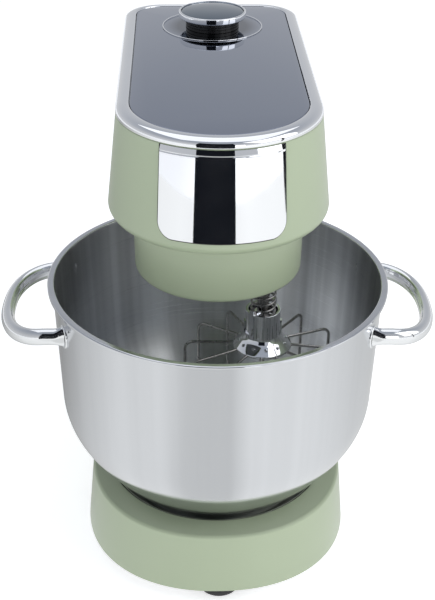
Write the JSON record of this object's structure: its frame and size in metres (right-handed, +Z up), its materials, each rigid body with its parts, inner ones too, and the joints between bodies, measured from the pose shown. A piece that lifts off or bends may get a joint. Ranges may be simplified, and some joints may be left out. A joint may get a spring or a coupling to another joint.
{
  "type": "stand mixer",
  "caption": "Tilting-head kitchen stand mixer with a planetary wire whisk, a speed knob, a glass-topped head and a steel bowl with side handles on a twist-lock base.",
  "frame": {"origin": "middle of the footprint on the floor, midway between the front of the bowl and the rear of the base", "axes": "+Z up, -Y towards the front of the mixer, +X to the right of a person who faces its front"},
  "size_m": [0.349, 0.4024, 0.4077],
  "materials": {
    "green_paint": "smooth satin-gloss sage green paint",
    "chrome_trim": "mirror-polished chrome",
    "bowl_steel": "stainless steel, satin outside and circumferentially brushed inside",
    "polished_steel": "polished stainless steel tube",
    "wire_steel": "plain drawn stainless wire and turned steel",
    "grey_glass": "glossy grey glass-like top panel and knob face",
    "black_plastic": "black moulded plastic",
    "foot_rubber": "matt black rubber",
    "pressed_steel": "plain machined or pressed steel",
    "cast_alloy": "as-cast aluminium",
    "bush_brass": "turned bronze or brass",
    "rotor_copper": "copper windings and commutator, lacquered",
    "white_nylon": "white engineering nylon",
    "circuit_board": "green printed circuit board with components"
  },
  "bodies": {
    "stand": {"base_housing": "green_paint", "base_bottom_plate": "pressed_steel", "foot_front": "foot_rubber", "foot_left": "foot_rubber", "foot_right": "foot_rubber", "foot_rear_left": "foot_rubber", "foot_rear_right": "foot_rubber", "bowl_seat_ring": "pressed_steel", "column_shell": "green_paint", "column_rear_cover": "green_paint", "power_inlet": "black_plastic", "column_frame": "cast_alloy", "hinge_bush_left": "bush_brass", "hinge_bush_right": "bush_brass", "hinge_pin": "pressed_steel", "latch_spring": "pressed_steel"},
    "release": {"release_lever": "chrome_trim", "head_latch": "pressed_steel"},
    "head": {"head_shell": "green_paint", "chrome_bezel": "chrome_trim", "glass_top_panel": "grey_glass", "front_plate": "chrome_trim", "drive_collar": "green_paint", "chassis_plate": "cast_alloy", "gear_housing": "cast_alloy", "ring_gear": "pressed_steel", "main_bearing": "pressed_steel", "drive_belt": "foot_rubber", "motor_frame": "cast_alloy", "motor_stator": "pressed_steel", "brush_holder_left": "bush_brass", "brush_holder_right": "bush_brass", "control_board": "circuit_board", "speed_switch": "black_plastic", "knob_trim_ring": "chrome_trim"},
    "speed_knob": {"knob_cap": "grey_glass", "knob_rim": "chrome_trim", "knob_neck": "black_plastic"},
    "motor_rotor": {"motor_armature": "rotor_copper", "motor_shaft": "pressed_steel", "cooling_fan": "black_plastic", "motor_pulley": "cast_alloy"},
    "planet_drive": {"planet_carrier": "cast_alloy", "planet_bearing": "bush_brass", "main_shaft": "pressed_steel", "large_pulley": "white_nylon"},
    "whisk_drive": {"whisk_shaft": "wire_steel", "planet_pinion": "white_nylon", "whisk_spring": "wire_steel"},
    "whisk": {"whisk_hub": "chrome_trim", "whisk_wire_1": "wire_steel", "whisk_wire_2": "wire_steel", "whisk_wire_3": "wire_steel", "whisk_wire_4": "wire_steel", "whisk_wire_5": "wire_steel", "whisk_wire_6": "wire_steel"},
    "bowl": {"bowl_shell": "bowl_steel", "bowl_foot_ring": "bowl_steel", "bowl_handle_left": "polished_steel", "bowl_handle_right": "polished_steel"}
  },
  "joints": [
    {"name": "head_tilt", "type": "hinge", "parent": "stand", "child": "head", "pos_m": [0, 0.165, 0.265], "axis": [-1, 0, 0], "range_deg": [0, 38]},
    {"name": "release_turn", "type": "hinge", "parent": "stand", "child": "release", "pos_m": [0.08, 0.112, 0.268], "axis": [-1, 0, 0], "range_deg": [0, 30], "stiffness_Nm_per_rad": 0.3, "springref_deg": -5.73},
    {"name": "bowl_twist", "type": "hinge", "parent": "stand", "child": "bowl", "pos_m": [0, -0.065, 0.07], "axis": [0, 0, 1], "range_deg": [0, 30]},
    {"name": "speed_turn", "type": "hinge", "parent": "head", "child": "speed_knob", "pos_m": [0, 0.119, 0.4], "axis": [0, 0, 1], "range_deg": [-210, 30]},
    {"name": "drive_spin", "type": "hinge", "parent": "head", "child": "planet_drive", "pos_m": [0, -0.065, 0.27], "axis": [0, 0, 1], "continuous": true},
    {"name": "motor_spin", "type": "hinge", "parent": "head", "child": "motor_rotor", "pos_m": [0, 0.052, 0.34], "axis": [0, 0, 1], "continuous": true},
    {"name": "planet_spin", "type": "hinge", "parent": "planet_drive", "child": "whisk_drive", "pos_m": [0.0375, -0.065, 0.27], "axis": [0, 0, 1], "continuous": true},
    {"name": "whisk_push", "type": "slide", "parent": "whisk_drive", "child": "whisk", "axis": [0, 0, 1], "range_m": [0, 0.008], "stiffness_N_per_m": 700, "springref_m": -0.008, "deforming": ["whisk_spring"]}
  ],
  "couplings": [
    {"joint": "motor_spin", "follows": "drive_spin", "ratio": 4.6},
    {"joint": "planet_spin", "follows": "drive_spin", "ratio": -3.7778}
  ]
}
